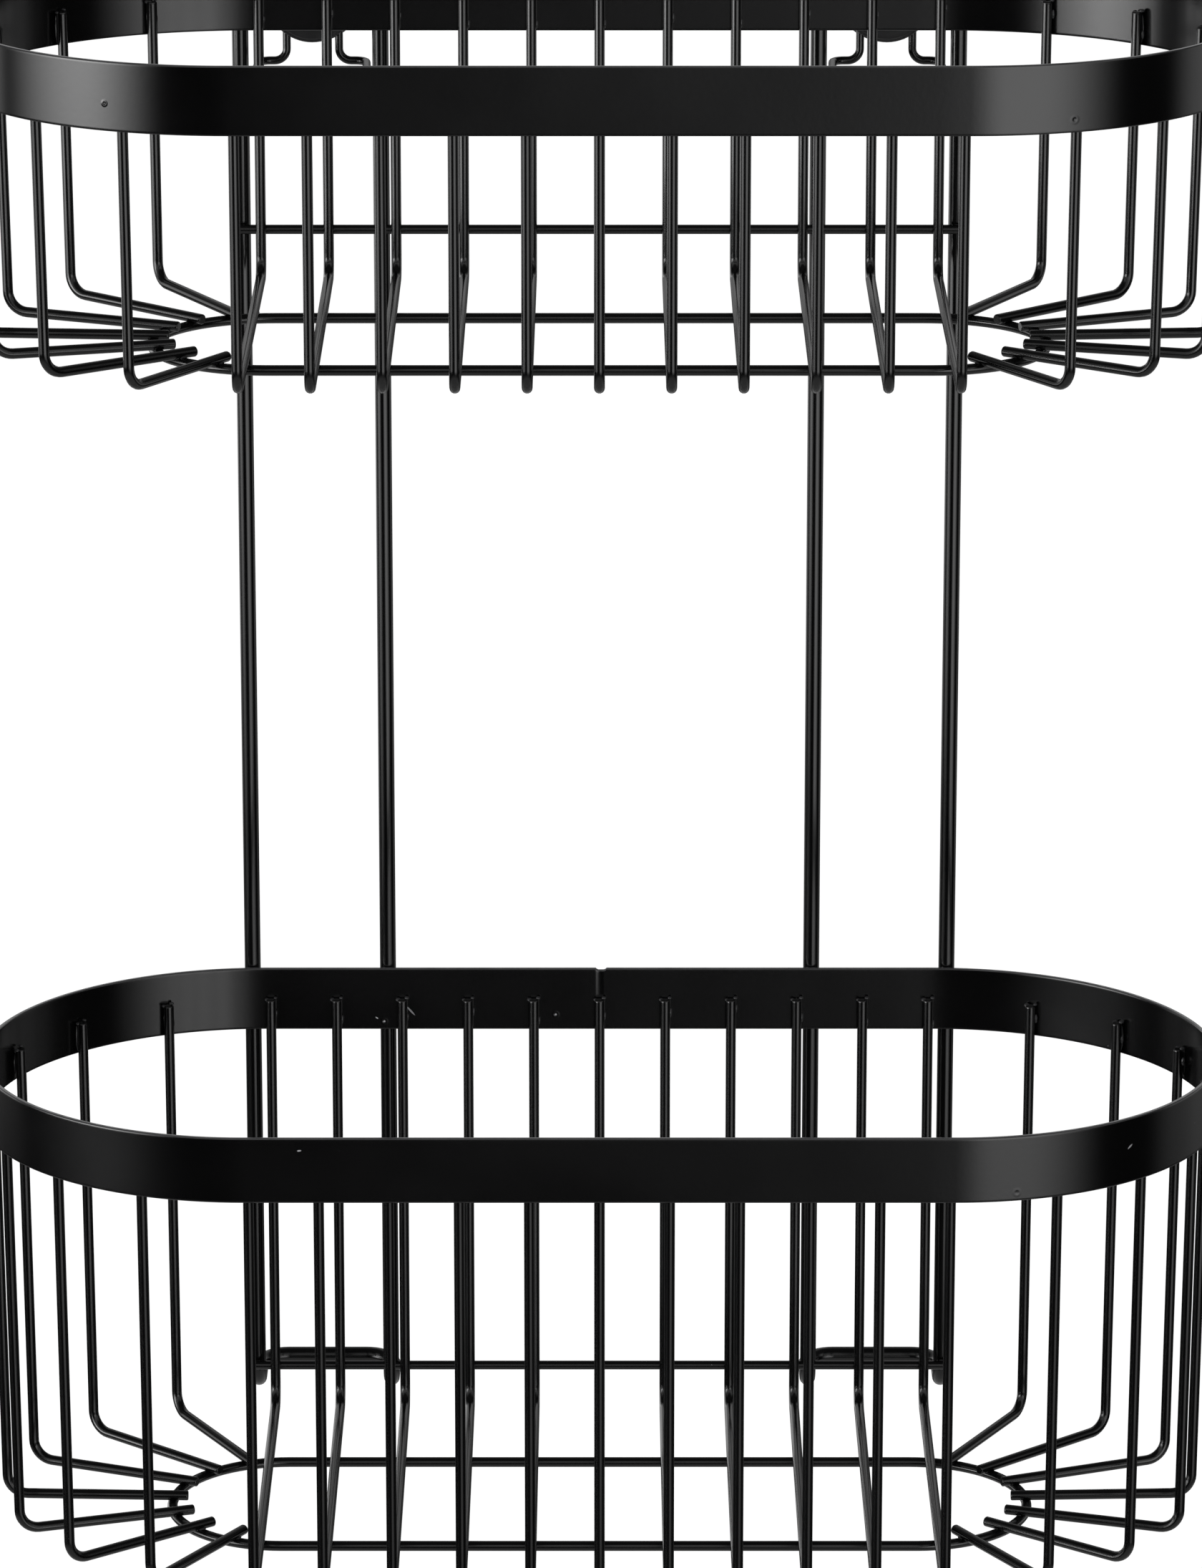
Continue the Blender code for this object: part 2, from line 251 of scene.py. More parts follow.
def plainMaterial(name, look):
    material, start = startMaterial(name)
    where = start.node("ShaderNodeTexCoord", output="Object")
    patches = patchesOf(look, where)
    grain = noise(where, *look["grain"])
    values = {
        "Base Color": patches.blend(*[rgba(colour) for colour in look["colours"]]),
        "Metallic": look["metallic"],
        "Roughness": roughnessOf(look, patches, grain),
        "Normal": bumpFrom(grain, look["grainDepth"]),
    }
    endMaterial(start, start.node("ShaderNodeBsdfPrincipled", {}, values))
    return material


# marks seen on the real rims: (place, radius, depth) and (place, turn, length, width)
rimMarks = {
    "upper": {
        "pits": [
            ((-0.1117, -0.1525, 0.0012), 0.0005, 0.00018),
            ((0.1072, -0.1544, -0.0022), 0.0007, 0.00007),
        ],
        "scratches": [],
    },
    "lower": {
        "pits": [
            ((-0.0110, -0.0270, -0.2553), 0.0006, 0.00005),
            ((-0.0541, -0.0270, -0.2571), 0.0006, 0.00005),
            ((0.0980, -0.1572, -0.2571), 0.0007, 0.00003),
        ],
        "scratches": [
            ((-0.0475, -0.0270, -0.2543), (0.0, 0.85, 0.0), 0.0019, 0.00028),
            ((-0.0110, -0.0270, -0.2553), (0.0, 0.0, 0.0), 0.00032, 0.00032),
            ((-0.0541, -0.0270, -0.2571), (0.0, 0.0, 0.0), 0.00032, 0.00032),
            ((-0.0560, -0.0270, -0.2562), (0.0, 0.6, 0.0), 0.0005, 0.0002),
            ((-0.0009, -0.0270, -0.2562), (0.0, 0.0, 0.0), 0.00030, 0.00030),
            ((-0.0703, -0.1588, -0.2462), (0.0, -0.1, 0.0), 0.0006, 0.00025),
            ((0.1253, -0.1440, -0.2502), (0.0, -0.7, 0.0), 0.0010, 0.00026),
        ],
    },
}

finishes = {
    "wires": coatMaterial("wireCoat", relief=coatLook["wireRelief"]),
    # the welds take the lighter weld paint, a painted glint
    "welds": coatMaterial("weldCoatWithPaintedGlint", paints=("weldPaintedGlintBlack", "weldPaintedGlintFaded")),
    "plastic": plainMaterial("mouldedPlastic", plasticLook),
    "zinc": plainMaterial("zincPlate", zincLook),
}
for tier in tiers:
    finishes[tier + "Rim"] = coatMaterial(tier + "RimCoat", rubbedWithPaintedHighlight=True, **rimMarks[tier])
print("finishes made:", ", ".join(finishes))


def startTree(name, inputs):
    tree = bpy.data.node_groups.new(name, "GeometryNodeTree")
    tree.interface.new_socket("Geometry", in_out="INPUT", socket_type="NodeSocketGeometry")
    tree.interface.new_socket("Geometry", in_out="OUTPUT", socket_type="NodeSocketGeometry")
    for label, kind in inputs.items():
        tree.interface.new_socket(label, in_out="INPUT", socket_type="NodeSocket" + kind)
    start = Signal(tree)

    def given(label):
        return start.node("NodeGroupInput", output=label)

    return start, given


def stored(start, name, kind="FLOAT"):
    # what every point of the mesh carries under that name
    return start.node("GeometryNodeInputNamedAttribute", {"data_type": kind}, {"Name": name})


def endTree(start, shape, given):
    # whatever was repeated becomes real, smooth but for its sharp edges, and gets its finish
    shape = start.node("GeometryNodeRealizeInstances", {}, {"Geometry": shape})
    angle = start.node("GeometryNodeInputMeshEdgeAngle")
    values = {0: angle, 1: sharpAngle}
    sharp = start.node("FunctionNodeCompare", {"operation": "GREATER_THAN"}, values)
    values = {"Geometry": shape, "Shade Smooth": True}
    shape = start.node("GeometryNodeSetShadeSmooth", {"domain": "FACE"}, values)
    values = {"Geometry": shape, "Selection": sharp, "Shade Smooth": False}
    shape = start.node("GeometryNodeSetShadeSmooth", {"domain": "EDGE"}, values)
    values = {"Geometry": shape, "Material": given("Finish")}
    shape = start.node("GeometryNodeSetMaterial", {}, values)
    start.node("NodeGroupOutput", {}, {"Geometry": shape})
    return start.tree


def bentWireTree():
    # a wire swept along each polyline of the mesh, its corners bent, the whole repeated in a row
    inputs = {
        "Wire radius": "Float", "Sides": "Int", "Bend steps": "Int",
        "Copies": "Int", "Step": "Vector", "Finish": "Material",
    }
    start, given = startTree("bentWire", inputs)
    curve = start.node("GeometryNodeMeshToCurve", {}, {"Mesh": given("Geometry")})
    bend = {"Count": given("Bend steps"), "Radius": stored(start, "bend"), "Limit Radius": True}
    curve = start.node("GeometryNodeFilletCurve", {"mode": "POLY"}, {"Curve": curve, **bend})
    circle = {"Resolution": given("Sides"), "Radius": given("Wire radius")}
    circle = start.node("GeometryNodeCurvePrimitiveCircle", {"mode": "RADIUS"}, circle)
    sweep = {"Profile Curve": circle, "Scale": stored(start, "full"), "Fill Caps": True}
    wire = start.node("GeometryNodeCurveToMesh", {}, {"Curve": curve, **sweep})
    row = {"Count": given("Copies"), "Offset": given("Step")}
    row = start.node("GeometryNodeMeshLine", {"mode": "OFFSET"}, row)
    wires = start.node("GeometryNodeInstanceOnPoints", {}, {"Points": row, "Instance": wire})
    return endTree(start, wires, given)


def flatBarTree():
    # a flat bar on edge, swept along the closed polyline of the mesh, with its long edges rounded
    inputs = {
        "Height": "Float", "Thickness": "Float",
        "Edge radius": "Float", "Edge steps": "Int", "Finish": "Material",
    }
    start, given = startTree("flatBar", inputs)
    curve = start.node("GeometryNodeMeshToCurve", {}, {"Mesh": given("Geometry")})
    curve = start.node("GeometryNodeSetCurveNormal", {"mode": "Z_UP"}, {"Curve": curve})
    section = {"Width": given("Thickness"), "Height": given("Height")}
    section = start.node("GeometryNodeCurvePrimitiveQuadrilateral", {"mode": "RECTANGLE"}, section)
    values = {"Curve": section, "Count": given("Edge steps"), "Radius": given("Edge radius")}
    section = start.node("GeometryNodeFilletCurve", {"mode": "POLY"}, values)
    bar = start.node("GeometryNodeCurveToMesh", {}, {"Curve": curve, "Profile Curve": section})
    return endTree(start, bar, given)


def weldTree():
    # a small uneven blob on every point, turned and stretched as the point says
    inputs = {
        "Around": "Int", "Rings": "Int",
        "Unevenness": "Float", "Seed": "Int", "Finish": "Material",
    }
    start, given = startTree("weldBlobs", inputs)
    ball = {"Segments": given("Around"), "Rings": given("Rings"), "Radius": 1.0}
    ball = start.node("GeometryNodeMeshUVSphere", {}, ball)
    turn = {0: stored(start, "turn", "FLOAT_VECTOR")}
    turn = start.node("FunctionNodeEulerToRotation", {}, turn)
    # inputs 2 and 3 and output 1 are those of plain numbers
    ends = {2: 1 - given("Unevenness"), 3: 1 + given("Unevenness"), "Seed": given("Seed")}
    chance = start.node("FunctionNodeRandomValue", {"data_type": "FLOAT"}, ends, 1)
    size = {0: stored(start, "span", "FLOAT_VECTOR"), "Scale": chance}
    size = start.node("ShaderNodeVectorMath", {"operation": "SCALE"}, size)
    points = start.node("GeometryNodeMeshToPoints", {}, {"Mesh": given("Geometry")})
    values = {"Points": points, "Instance": ball, "Rotation": turn, "Scale": size}
    blobs = start.node("GeometryNodeInstanceOnPoints", {}, values)
    return endTree(start, blobs, given)


trees = {"wire": bentWireTree(), "bar": flatBarTree(), "weld": weldTree()}


def addObject(name, data):
    made = bpy.data.objects.new(name, data)
    bpy.context.scene.collection.objects.link(made)
    return made


def meshFrom(name, shape, finish=None):
    # what was built point by point becomes a mesh
    mesh = bpy.data.meshes.new(name)
    shape.to_mesh(mesh)
    shape.free()
    if finish:
        mesh.materials.append(finish)
    return mesh


def makePlain(piece):
    # what the modifiers make of a piece becomes its mesh
    graph = bpy.context.evaluated_depsgraph_get()
    plain = bpy.data.meshes.new_from_object(piece.evaluated_get(graph))
    piece.modifiers.clear()
    piece.data = plain
    return piece


def grow(name, mesh, tree, settings):
    # runs the tree on the mesh
    piece = addObject(name, mesh)
    modifier = piece.modifiers.new("grow", "NODES")
    modifier.node_group = tree
    for item in tree.interface.items_tree:
        if item.in_out == "INPUT" and item.name in settings:
            modifier[item.identifier] = settings[item.name]
    return makePlain(piece)


def together(name, *pieces):
    # one object out of several, all at the origin
    whole = bmesh.new()
    for piece in pieces:
        whole.from_mesh(piece.data)
    mesh = meshFrom(name, whole, pieces[0].data.materials[0])
    for piece in pieces:
        bpy.data.objects.remove(piece)
    return addObject(name, mesh)


def settle(piece, body, slotName, *nodes):
    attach(piece, body)
    if nodes:
        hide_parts(*nodes)
    return piece


wireLook = {
    "sides": 14,
    "bendSteps": 9,
    "cutEnd": (  # depth from the cut, and how full the wire is there
        (0.0, 0.80), (0.00012, 0.94), (0.0003, 1.0), (0.0006, 1.0),
    ),
    "straightStart": 0.0003,  # a ring this far outside every bend keeps the straight's shading true
}


def openPath(corners, *bends):
    # one wire with cut ends: (place, bend radius, fullness) of every point
    path = []
    for before, corner, after, bend in zip(corners, corners[1:], corners[2:], bends):
        arms = before - corner, after - corner
        reach = bend / math.tan(arms[0].angle(arms[1]) / 2) + wireLook["straightStart"]
        rings = []
        for arm in arms:
            hasRoom = bend and reach < longestArm * arm.length
            rings.append([(corner + arm.normalized() * reach, 0.0, 1.0)] if hasRoom else [])
        path += rings[0] + [(corner, bend, 1.0)] + rings[1]
    for end, inner, first in ((corners[0], corners[1], True), (corners[-1], corners[-2], False)):
        along = (inner - end).normalized()
        cut = [(end + along * depth, 0.0, full) for depth, full in wireLook["cutEnd"]]
        path = cut + path if first else path + cut[::-1]
    return path


def pathMesh(name, paths, closed=False):
    points = [point for path in paths for point in path]
    edges = []
    first = 0
    for path in paths:
        edges += [(first + step, first + step + 1) for step in range(len(path) - 1)]
        if closed:
            edges.append((first + len(path) - 1, first))
        first += len(path)
    mesh = bpy.data.meshes.new(name)
    mesh.from_pydata([place for place, bend, full in points], edges, [])
    for label, column in (("bend", 1), ("full", 2)):
        attribute = mesh.attributes.new(label, "FLOAT", "POINT")
        attribute.data.foreach_set("value", [point[column] for point in points])
    return mesh


def wirePiece(name, paths, radius, closed=False, copies=1, step=(0, 0, 0), sides=None):
    settings = {
        "Wire radius": radius, "Sides": sides or wireLook["sides"],
        "Bend steps": wireLook["bendSteps"], "Copies": copies,
        "Step": step, "Finish": finishes["wires"],
    }
    return grow(name, pathMesh(name, paths, closed), trees["wire"], settings)


def halfRound(x, radius, end, steps):
    # points of the half circle at the right end, where end is 1, or at the left, where it is -1
    turns = [math.pi * (step / steps - end / 2) for step in range(steps + 1)]
    return [(x + radius * math.cos(turn), radius * math.sin(turn)) for turn in turns]


rimLook = {
    "thickness": 0.0012,
    "edgeRadius": 0.00035,
    "edgeSteps": 4,
    "flatStart": 0.0007,  # the faces are flat from this far inside the edges
    "endSteps": 72,
    "straightSteps": 24,
    "seamHalf": 0.0030,
    "seamSteps": 30,
    "seamGroove": (0.0, 0.0009, -0.0001),  # place, half width and height of the ground weld
    "notch": (0.0004, 0.0014, 0.00045),  # place, half width and depth, in the top edge
    "notchSteepness": 1.4,  # of its flanks, which leaves its bottom flat
}


def rimShape(tier):
    low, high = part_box(tier + "_rim")
    radius = (high.y - low.y) / 2
    return {
        "radius": radius,
        "straight": (high.x - low.x) / 2 - radius,
        "y": (high.y + low.y) / 2,
        "top": high.z,
        "bottom": low.z,
    }


def hump(x, place, half, height):
    # a rounded hump, or a hollow where the height is negative
    return height * max(0.0, 1 - ((x - place) / half) ** 2)


def stretch(first, last, y, steps):
    # points between two ends of a straight, without the ends
    return [(first + (last - first) * step / steps, y) for step in range(1, steps)]


def cutAcross(mesh, *levels):
    # an edge loop at every level, so that the flats between them shade flat
    shape = bmesh.new()
    shape.from_mesh(mesh)
    for level in levels:
        parts = shape.verts[:] + shape.edges[:] + shape.faces[:]
        bmesh.ops.bisect_plane(shape, geom=parts, plane_co=(0, 0, level), plane_no=(0, 0, 1))
    shape.to_mesh(mesh)
    shape.free()


def makeRim(tier):
    shape = rimShape(tier)
    middle = shape["radius"] - rimLook["thickness"] / 2
    straight, seamHalf = shape["straight"], rimLook["seamHalf"]
    endSteps, steps = rimLook["endSteps"], rimLook["straightSteps"]
    seam = stretch(seamHalf, -seamHalf, middle, rimLook["seamSteps"])
    outline = halfRound(straight, middle, 1, endSteps) + stretch(straight, seamHalf, middle, steps)
    outline += [(seamHalf, middle)] + seam + [(-seamHalf, middle)]
    outline += stretch(-seamHalf, -straight, middle, steps)
    outline += halfRound(-straight, middle, -1, endSteps)
    outline += stretch(-straight, straight, -middle, steps)
    level = (shape["top"] + shape["bottom"]) / 2
    path = [(Vector((x, shape["y"] + y, level)), 0.0, 1.0) for x, y in outline]
    settings = {
        "Height": shape["top"] - shape["bottom"], "Thickness": rimLook["thickness"],
        "Edge radius": rimLook["edgeRadius"], "Edge steps": rimLook["edgeSteps"],
        "Finish": finishes[tier + "Rim"],
    }
    piece = grow(tier + "Rim", pathMesh(tier + "Rim", [path], closed=True), trees["bar"], settings)
    inside = rimLook["flatStart"]
    cutAcross(piece.data, shape["top"] - inside, shape["bottom"] + inside)
    # marks the top edge, where the coat is glossier and its colour is painted lighter as a painted
    # highlight
    rubAndPaintedHighlight = piece.data.attributes.new("rubAndPaintedHighlight", "FLOAT", "POINT")
    band = shape["y"] + middle
    for vertex in piece.data.vertices:
        spot = vertex.co
        rubAndPaintedHighlight.data[vertex.index].value = max(0.0, 1 - (shape["top"] - spot.z) / rimLook["edgeRadius"])
        atSeam = spot.y > shape["y"] and abs(spot.x) < seamHalf
        if atSeam and spot.z > level:  # the butt weld fades downwards
            groove = hump(spot.x, *rimLook["seamGroove"])
            spot.y += groove if spot.y > band else -groove
            notch = rimLook["notchSteepness"] * hump(spot.x, *rimLook["notch"])
            spot.z -= min(notch, rimLook["notch"][2])
    return settle(piece, "shelf", "black_powder_coat", tier + "_rim")


for tier in tiers:
    makeRim(tier)
print("rims made")


basketLook = {
    "wire": 0.00125,  # radius
    "clearance": 0.0003,  # between the wires and the rim
    "bend": 0.005,
    "taper": 0.0013,  # how much further in every wire stands at the floor
    "endWires": 7,
    "ringInset": 0.006,  # from the centre of the rim's half circle to that of the ring's
    "ringRadius": 0.0279,
    "ringDrop": 0.0028,  # from the ribs on the floor down to the ring, between their middles
    "overhang": 0.0039,  # of the end wires, inwards past the ring
    "endDip": 0.0007,  # of their inner ends
    "ringSteps": 40,
}


def basketShape(tier):
    shape = rimShape(tier)
    low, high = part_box(tier + "_rib_01")
    nextLow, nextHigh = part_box(tier + "_rib_02")
    ribs = [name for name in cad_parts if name.startswith(tier + "_rib_")]
    shape["ribs"] = sorted(ribs)
    shape["firstX"] = (low.x + high.x) / 2
    shape["pitch"] = nextLow.x - low.x
    shape["floor"] = low.z + basketLook["wire"]
    shape["wireTop"] = high.z
    room = basketLook["clearance"] + basketLook["wire"]
    shape["reach"] = shape["radius"] - rimLook["thickness"] - room
    shape["foot"] = shape["reach"] - basketLook["taper"]
    shape["ringX"] = shape["straight"] - basketLook["ringInset"]
    return shape


def makeRibs(tier):
    shape = basketShape(tier)
    x, y = shape["firstX"], shape["y"]
    corners = [
        Vector((x, y - shape["reach"], shape["wireTop"])),
        Vector((x, y - shape["foot"], shape["floor"])),
        Vector((x, y + shape["foot"], shape["floor"])),
        Vector((x, y + shape["reach"], shape["wireTop"])),
    ]
    path = openPath(corners, basketLook["bend"], basketLook["bend"])
    row = {"copies": len(shape["ribs"]), "step": (shape["pitch"], 0, 0)}
    piece = wirePiece(tier + "Ribs", [path], basketLook["wire"], **row)
    return settle(piece, "shelf", "black_powder_coat", *shape["ribs"])


def endSpokes(shape):
    # (rim centre, ring centre, direction) for each wire that fans out round the two ends
    for end in (1, -1):
        rimCentre = Vector((end * shape["straight"], shape["y"], 0))
        ringCentre = Vector((end * shape["ringX"], shape["y"], 0))
        for number in range(1, basketLook["endWires"] + 1):
            angle = math.pi * number / (basketLook["endWires"] + 1)
            yield rimCentre, ringCentre, Vector((end * math.sin(angle), math.cos(angle), 0))


def makeFloorFrame(tier):
    shape = basketShape(tier)
    inner = basketLook["ringRadius"] - basketLook["overhang"]
    paths = []
    for rimCentre, ringCentre, spoke in endSpokes(shape):
        corners = [
            rimCentre + spoke * shape["reach"] + Vector((0, 0, shape["wireTop"])),
            rimCentre + spoke * shape["foot"] + Vector((0, 0, shape["floor"])),
            ringCentre + spoke * inner + Vector((0, 0, shape["floor"] - basketLook["endDip"])),
        ]
        paths.append(openPath(corners, basketLook["bend"]))
    level = shape["floor"] - basketLook["ringDrop"]
    radius, steps = basketLook["ringRadius"], basketLook["ringSteps"]
    outline = halfRound(shape["ringX"], radius, 1, steps)
    outline += halfRound(-shape["ringX"], radius, -1, steps)
    ring = [(Vector((x, shape["y"] + y, level)), 0.0, 1.0) for x, y in outline]
    fan = wirePiece("fan", paths, basketLook["wire"])
    ring = wirePiece("ring", [ring], basketLook["wire"], closed=True)
    piece = together(tier + "FloorFrame", ring, fan)
    return settle(piece, "shelf", "black_powder_coat", tier + "_floor_frame")


for tier in tiers:
    makeRibs(tier)
    makeFloorFrame(tier)
print("basket wires made")


backLook = {
    "upright": 0.0020,  # radii
    "crossWire": 0.00115,
    "hanger": 0.0010,
    "footBend": 0.006,
    "standOffBend": 0.007,
    "hangerBend": 0.003,
    "hangerShoulder": 0.0131,  # half the width where the legs come into the arch's plane
    "archSteps": 24,
    "uprightSides": 20,
}


def makeUprightLoop(side):
    low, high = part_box(side + "_upright_loop")
    radius = backLook["upright"]
    left, right = low.x + radius, high.x - radius
    front, back, foot = low.y + radius, high.y - radius, low.z + radius
    corners = [
        Vector((left, front, high.z)), Vector((left, front, foot)), Vector((left, back, foot)),
        Vector((right, back, foot)), Vector((right, front, foot)), Vector((right, front, high.z)),
    ]
    bends = [backLook[name] for name in ("footBend", "standOffBend", "standOffBend", "footBend")]
    path = openPath(corners, *bends)
    piece = wirePiece(side + "UprightLoop", [path], radius, sides=backLook["uprightSides"])
    return settle(piece, "shelf", "black_powder_coat", side + "_upright_loop")


def makeCrossWire(tier):
    low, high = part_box(tier + "_cross_wire")
    y, z = (low.y + high.y) / 2, (low.z + high.z) / 2
    path = openPath([Vector((low.x, y, z)), Vector((high.x, y, z))])
    piece = wirePiece(tier + "CrossWire", [path], backLook["crossWire"])
    return settle(piece, "shelf", "black_powder_coat", tier + "_cross_wire")


def makeHanger(side):
    low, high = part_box(side + "_hanger")
    radius = backLook["hanger"]
    middle = (low.x + high.x) / 2
    level = low.z + radius
    plane = high.y - radius
    neck = high.z - radius  # the arch is centred on Z = 0
    weld = (high.x - low.x) / 2 - radius
    shoulder = backLook["hangerShoulder"]
    half = [
        Vector((weld, low.y, level)), Vector((shoulder, plane, level)),
        Vector((neck, plane, level)), Vector((neck, plane, 0.0)),
    ]
    arch = []
    for step in range(1, backLook["archSteps"]):
        angle = math.pi * step / backLook["archSteps"]
        arch.append(Vector((neck * math.cos(angle), plane, neck * math.sin(angle))))
    corners = half + arch + [Vector((-spot.x, spot.y, spot.z)) for spot in reversed(half)]
    corners = [spot + Vector((middle, 0, 0)) for spot in corners]
    bent = [backLook["hangerBend"]] * 2  # shoulder and foot of each leg
    unbent = [0.0] * (len(arch) + 2)  # the arch and where it meets the legs
    piece = wirePiece(side + "Hanger", [openPath(corners, *bent, *unbent, *bent)], radius)
    return settle(piece, "shelf", "black_powder_coat", side + "_hanger")


for tier in tiers:
    makeCrossWire(tier)
for side in sides:
    makeUprightLoop(side)
    makeHanger(side)
print("uprights, cross wires and hangers made")


weldLook = {  # half sizes: along, across and out of the joint
    "crossing": (0.00100, 0.00095, 0.00045),
    "ribSeam": (0.0034, 0.00085, 0.00032),
    "ear": (0.00058, 0.00042, 0.00070),
    "earPlace": (0.88, 0.0010),  # share of the wire's radius to the side, and in from the rim
    "earRise": (-0.0002, 0.00025),  # the sheared end's burr stands higher on one side
    "burr": (0.00110, 0.00042, 0.00050),
    "burrInset": 0.0008,
    "burrPlace": (-0.0026, 0.0016),  # lowest and highest, from the middle of the joint
    "uprightSeam": (0.0058, 0.00125, 0.00042),
    "hanger": (0.00115, 0.00060, 0.00030),
    "wireGap": 0.00015,  # from a wire's surface to the middle of its weld
    "uprightGap": 0.0001,
    "unevenness": 0.22,
    "around": 9,
    "rings": 6,
    "seed": 7,
}
burrDraw = random.Random(weldLook["seed"])
up = Vector((0, 0, 1))


def blob(place, along, outward, size):
    along, outward = Vector(along).normalized(), Vector(outward).normalized()
    across = outward.cross(along)
    turn = Matrix((along, across, outward)).transposed().to_euler()
    return Vector(place), tuple(turn), size


def makeWelds(name, blobs):
    mesh = bpy.data.meshes.new(name)
    mesh.from_pydata([place for place, turn, span in blobs], [], [])
    for label, column in (("turn", 1), ("span", 2)):
        attribute = mesh.attributes.new(label, "FLOAT_VECTOR", "POINT")
        attribute.data.foreach_set("vector", [value for item in blobs for value in item[column]])
    settings = {
        "Around": weldLook["around"], "Rings": weldLook["rings"],
        "Unevenness": weldLook["unevenness"], "Seed": weldLook["seed"], "Finish": finishes["welds"],
    }
    return settle(grow(name, mesh, trees["weld"], settings), "shelf", "black_powder_coat")


def rimWelds(centre, spoke, shape, blobs):
    # a wire's flank pressed into the rim, two ears of metal at its top and a burr down one side
    flank = centre + spoke * (shape["radius"] - rimLook["thickness"])
    across = up.cross(spoke)
    middle = (shape["wireTop"] + shape["bottom"]) / 2
    blobs.append(blob(flank + up * middle, up, spoke, weldLook["ribSeam"]))
    aside, inset = weldLook["earPlace"]
    for sign, rise in zip((1, -1), weldLook["earRise"]):
        place = flank + across * (sign * basketLook["wire"] * aside) - spoke * inset
        place.z = shape["wireTop"] + rise
        blobs.append(blob(place, across, spoke, weldLook["ear"]))
    place = flank - across * basketLook["wire"] - spoke * weldLook["burrInset"]
    place.z = middle + burrDraw.uniform(*weldLook["burrPlace"])
    blobs.append(blob(place, up, spoke, weldLook["burr"]))


def basketWelds(tier):
    shape = basketShape(tier)
    blobs = []
    contact = shape["floor"] - basketLook["ringDrop"] / 2
    crossLow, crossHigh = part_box(tier + "_cross_wire")
    crossZ = (crossLow.z + crossHigh.z) / 2
    for number in range(len(shape["ribs"])):
        x = shape["firstX"] + shape["pitch"] * number
        for sign in (1, -1):
            rimWelds(Vector((x, shape["y"], 0)), Vector((0, sign, 0)), shape, blobs)
            place = (x, shape["y"] + sign * basketLook["ringRadius"], contact)
            blobs.append(blob(place, (0, 1, 0), up, weldLook["crossing"]))
        place = (x, crossLow.y - weldLook["wireGap"], crossZ)
        blobs.append(blob(place, up, (0, 1, 0), weldLook["crossing"]))
    for rimCentre, ringCentre, spoke in endSpokes(shape):
        rimWelds(rimCentre, spoke, shape, blobs)
        place = ringCentre + spoke * basketLook["ringRadius"] + up * contact
        blobs.append(blob(place, spoke, up, weldLook["crossing"]))
    return blobs


def frameWelds():
    blobs = []
    radius, gap = backLook["upright"], weldLook["uprightGap"]
    for side in sides:
        low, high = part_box(side + "_upright_loop")
        hangerLow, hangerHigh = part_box(side + "_hanger")
        hangerZ = hangerLow.z + backLook["hanger"]
        for x, inward in ((low.x + radius, 1), (high.x - radius, -1)):
            for tier in tiers:
                shape = rimShape(tier)
                crossLow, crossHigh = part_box(tier + "_cross_wire")
                rimZ = (shape["top"] + shape["bottom"]) / 2
                blobs.append(blob((x, low.y - gap, rimZ), up, (0, 1, 0), weldLook["uprightSeam"]))
                place = (x, crossHigh.y + gap, (crossLow.z + crossHigh.z) / 2)
                blobs.append(blob(place, (1, 0, 0), (0, 1, 0), weldLook["crossing"]))
            place = (x + inward * (radius + weldLook["wireGap"]), low.y + radius, hangerZ)
            blobs.append(blob(place, (0, 1, 0), (inward, 0, 0), weldLook["hanger"]))
    return blobs


for tier in tiers:
    makeWelds(tier + "BasketWelds", basketWelds(tier))
makeWelds("backFrameWelds", frameWelds())
print("welds made")


buttonLook = {
    "base": 0.0125, "baseThickness": 0.003,
    "neck": 0.0051, "neckLength": 0.0057,
    "head": 0.011, "headThickness": 0.003,
    "hole": 0.0023, "pocket": 0.0042, "pocketDepth": 0.0019,
    "round": 0.0008, "fillet": 0.0006, "baseEdge": 0.0002, "pocketEdge": 0.0003,
    "steps": 64,
}
capLook = {
    "radius": 0.010, "thickness": 0.0018, "edge": 0.0007,
    "spigot": 0.0039, "spigotLength": 0.0010,
    "spigotEdge": (0.0002, 3), "backEdge": (0.0001, 2),  # radius and steps
    "shoulder": 0.0003, "shoulderReach": 0.9,  # radius, and the share of the cap inside it
    "groove": (0.8125, 0.03, 0.00012),  # place and half width as shares of the radius, depth
    "domeSteps": 16, "steps": 64,
}
screwLook = {
    "head": 0.0039, "shank": 0.0020, "core": 0.0014, "length": 0.030,
    "pitch": 0.0015, "plain": 0.006,
    "ridge": 0.26,  # half width of the thread's ridge, as a share of the pitch
    "point": 0.005, "pointShape": 0.8, "tip": 0.04,
    "flat": 0.0003, "headEdge": 0.0001, "neckLength": 0.0006, "threadStart": 0.0002,
    "slot": 0.0009, "slotReach": 0.0019, "slotDepth": 0.0016, "slotClear": 0.0002,
    "slotOpen": (1.12, 0.55), "slotDeep": (0.35, 0.3),  # shares of its reach and width
    "around": 28, "perPitch": 12, "headSteps": 40,
}
outerPoint = 0.1  # a point this share of the radius outside every soft corner keeps the flats flat


def softCorner(before, corner, after, radius, steps=5):
    # points of an arc that rounds one corner of a profile
    corner = Vector(corner)
    back, ahead = Vector(before) - corner, Vector(after) - corner
    reach = min(radius, back.length * longestArm, ahead.length * longestArm)
    start = corner + back.normalized() * reach
    end = corner + ahead.normalized() * reach
    arc = [start + back.normalized() * reach * outerPoint]
    for step in range(steps + 1):
        share = step / steps
        arc.append(start * (1 - share) ** 2 + corner * 2 * share * (1 - share) + end * share ** 2)
    arc.append(end + ahead.normalized() * reach * outerPoint)
    return [tuple(point) for point in arc]


def softProfile(corners, radii):
    # closed profile with each corner rounded by its own radius
    profile = []
    for number, (corner, radius) in enumerate(zip(corners, radii)):
        before, after = corners[number - 1], corners[(number + 1) % len(corners)]
        profile += softCorner(before, corner, after, radius) if radius else [corner]
    return profile


